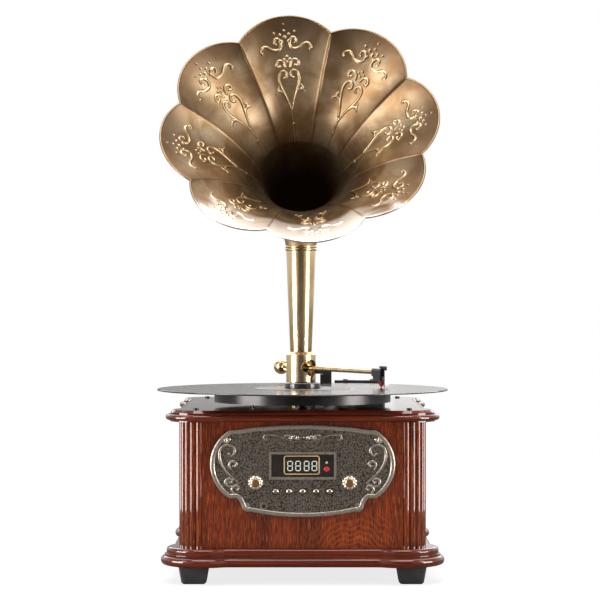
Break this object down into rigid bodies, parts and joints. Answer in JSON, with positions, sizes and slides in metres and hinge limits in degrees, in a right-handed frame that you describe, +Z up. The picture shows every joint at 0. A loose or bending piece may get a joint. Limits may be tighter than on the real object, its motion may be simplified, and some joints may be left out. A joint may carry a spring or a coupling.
{
  "type": "record player with horn",
  "caption": "Table-top record player in antique style: moulded wooden cabinet with metal control plate, record, swinging tonearm and petal horn on a tapered column.",
  "frame": {"origin": "on the table, below the middle of the whole object's box", "axes": "+Z up, the front with its control plate looks towards -Y, +X is to the right seen from the front"},
  "size_m": [0.3, 0.3695, 0.5907],
  "materials": {
    "mahogany": "gloss lacquer over red-brown straight-grained wood",
    "board": "plain board",
    "deck_black": "gloss black",
    "record_black": "grooved gloss black",
    "label_paper": "satin",
    "black_plastic": "fine satin",
    "gloss_black_plastic": "gloss",
    "foot_rubber": "matte",
    "belt_rubber": "matte",
    "pewter": "dark pebbled pewter with a brighter rim",
    "steel": "brushed",
    "platter_metal": "dark satin with a rubber face",
    "antique_brass": "antique, satin",
    "bright_brass": "polished",
    "horn_brass": "embossed antique brass, burnished on the high spots",
    "grille_metal": "satin black, perforated",
    "cone_paper": "black paper cone",
    "circuit_green": "satin circuit board",
    "core_iron": "laminated",
    "lens": "clear",
    "needle_red": "moulded red"
  },
  "bodies": {
    "cabinet": {"feet": "foot_rubber", "cabinet_screws": "steel", "bottom_board": "board", "base_moulding": "mahogany", "top_moulding": "mahogany", "deck_plate": "deck_black", "corner_posts": "mahogany", "front_panel": "mahogany", "rear_panel": "mahogany", "right_panel": "mahogany", "left_panel": "mahogany", "speaker_grilles": "grille_metal", "speakers": "cone_paper", "fascia_plate": "pewter", "display_bezel": "pewter", "display_window": "lens", "display_module": "black_plastic", "control_shafts": "steel", "headphone_socket": "gloss_black_plastic", "front_board": "circuit_green", "main_board": "circuit_green", "transformer": "core_iron", "rear_sockets": "black_plastic", "platter_bearing": "steel", "motor": "steel", "drive_belt": "belt_rubber", "control_box": "black_plastic", "arm_housing": "bright_brass", "arm_rest": "black_plastic"},
    "turntable": {"platter": "platter_metal", "record": "record_black", "record_label": "label_paper", "record_adapter": "gloss_black_plastic"},
    "motor_spindle": {"motor_pulley": "antique_brass"},
    "arm_carrier": {"arm_yoke": "antique_brass", "arm_pivot_pin": "steel"},
    "tonearm": {"arm_tube": "bright_brass", "counterweight": "bright_brass", "headshell": "gloss_black_plastic", "cartridge": "black_plastic", "needle": "needle_red"},
    "horn": {"horn_column": "bright_brass", "horn_elbow": "horn_brass", "horn_petal_1": "horn_brass", "horn_petal_2": "horn_brass", "horn_petal_3": "horn_brass", "horn_petal_4": "horn_brass", "horn_petal_5": "horn_brass", "horn_petal_6": "horn_brass", "horn_petal_7": "horn_brass", "horn_petal_8": "horn_brass"},
    "volume": {"volume_knob": "antique_brass"},
    "tuning": {"tuning_knob": "antique_brass"},
    "speed": {"speed_lever": "steel"},
    "stop": {"stop_lever": "steel"},
    "button_1": {"push_button_1": "antique_brass"},
    "button_2": {"push_button_2": "antique_brass"},
    "button_3": {"push_button_3": "antique_brass"},
    "button_4": {"push_button_4": "antique_brass"},
    "button_5": {"push_button_5": "antique_brass"}
  },
  "joints": [
    {"name": "platter_spin", "type": "hinge", "parent": "cabinet", "child": "turntable", "pos_m": [0, -0.03476, 0.18], "axis": [0, 0, 1], "continuous": true},
    {"name": "motor_spin", "type": "hinge", "parent": "cabinet", "child": "motor_spindle", "pos_m": [-0.0502, -0.08496, 0.175], "axis": [0, 0, 1], "continuous": true},
    {"name": "arm_swing", "type": "hinge", "parent": "cabinet", "child": "arm_carrier", "pos_m": [-0.0015, 0.13524, 0.205], "axis": [0, 0, 1], "range_deg": [-9, 31.5]},
    {"name": "arm_lift", "type": "hinge", "parent": "arm_carrier", "child": "tonearm", "pos_m": [-0.0015, 0.13524, 0.205], "axis": [-0.8788, -0.4772, 0], "range_deg": [0, 10]},
    {"name": "horn_swivel", "type": "hinge", "parent": "cabinet", "child": "horn", "pos_m": [-0.0015, 0.13524, 0.3], "axis": [0, 0, 1], "range_deg": [-30, 30]},
    {"name": "volume_turn", "type": "hinge", "parent": "cabinet", "child": "volume", "pos_m": [-0.0462, -0.14, 0.1011], "axis": [0, 1, 0], "range_deg": [-150, 150]},
    {"name": "tuning_turn", "type": "hinge", "parent": "cabinet", "child": "tuning", "pos_m": [0.0462, -0.14, 0.1011], "axis": [0, 1, 0], "range_deg": [-135, 135]},
    {"name": "speed_slide", "type": "slide", "parent": "cabinet", "child": "speed", "axis": [1, 0, 0], "range_m": [0, 0.008]},
    {"name": "stop_slide", "type": "slide", "parent": "cabinet", "child": "stop", "axis": [1, 0, 0], "range_m": [0, 0.005]},
    {"name": "button_1_press", "type": "slide", "parent": "cabinet", "child": "button_1", "axis": [0, 1, 0], "range_m": [0, 0.0015], "stiffness_N_per_m": 300},
    {"name": "button_2_press", "type": "slide", "parent": "cabinet", "child": "button_2", "axis": [0, 1, 0], "range_m": [0, 0.0015], "stiffness_N_per_m": 300},
    {"name": "button_3_press", "type": "slide", "parent": "cabinet", "child": "button_3", "axis": [0, 1, 0], "range_m": [0, 0.0015], "stiffness_N_per_m": 300},
    {"name": "button_4_press", "type": "slide", "parent": "cabinet", "child": "button_4", "axis": [0, 1, 0], "range_m": [0, 0.0015], "stiffness_N_per_m": 300},
    {"name": "button_5_press", "type": "slide", "parent": "cabinet", "child": "button_5", "axis": [0, 1, 0], "range_m": [0, 0.0015], "stiffness_N_per_m": 300}
  ],
  "couplings": [
    {"joint": "motor_spin", "follows": "platter_spin", "ratio": 11}
  ]
}
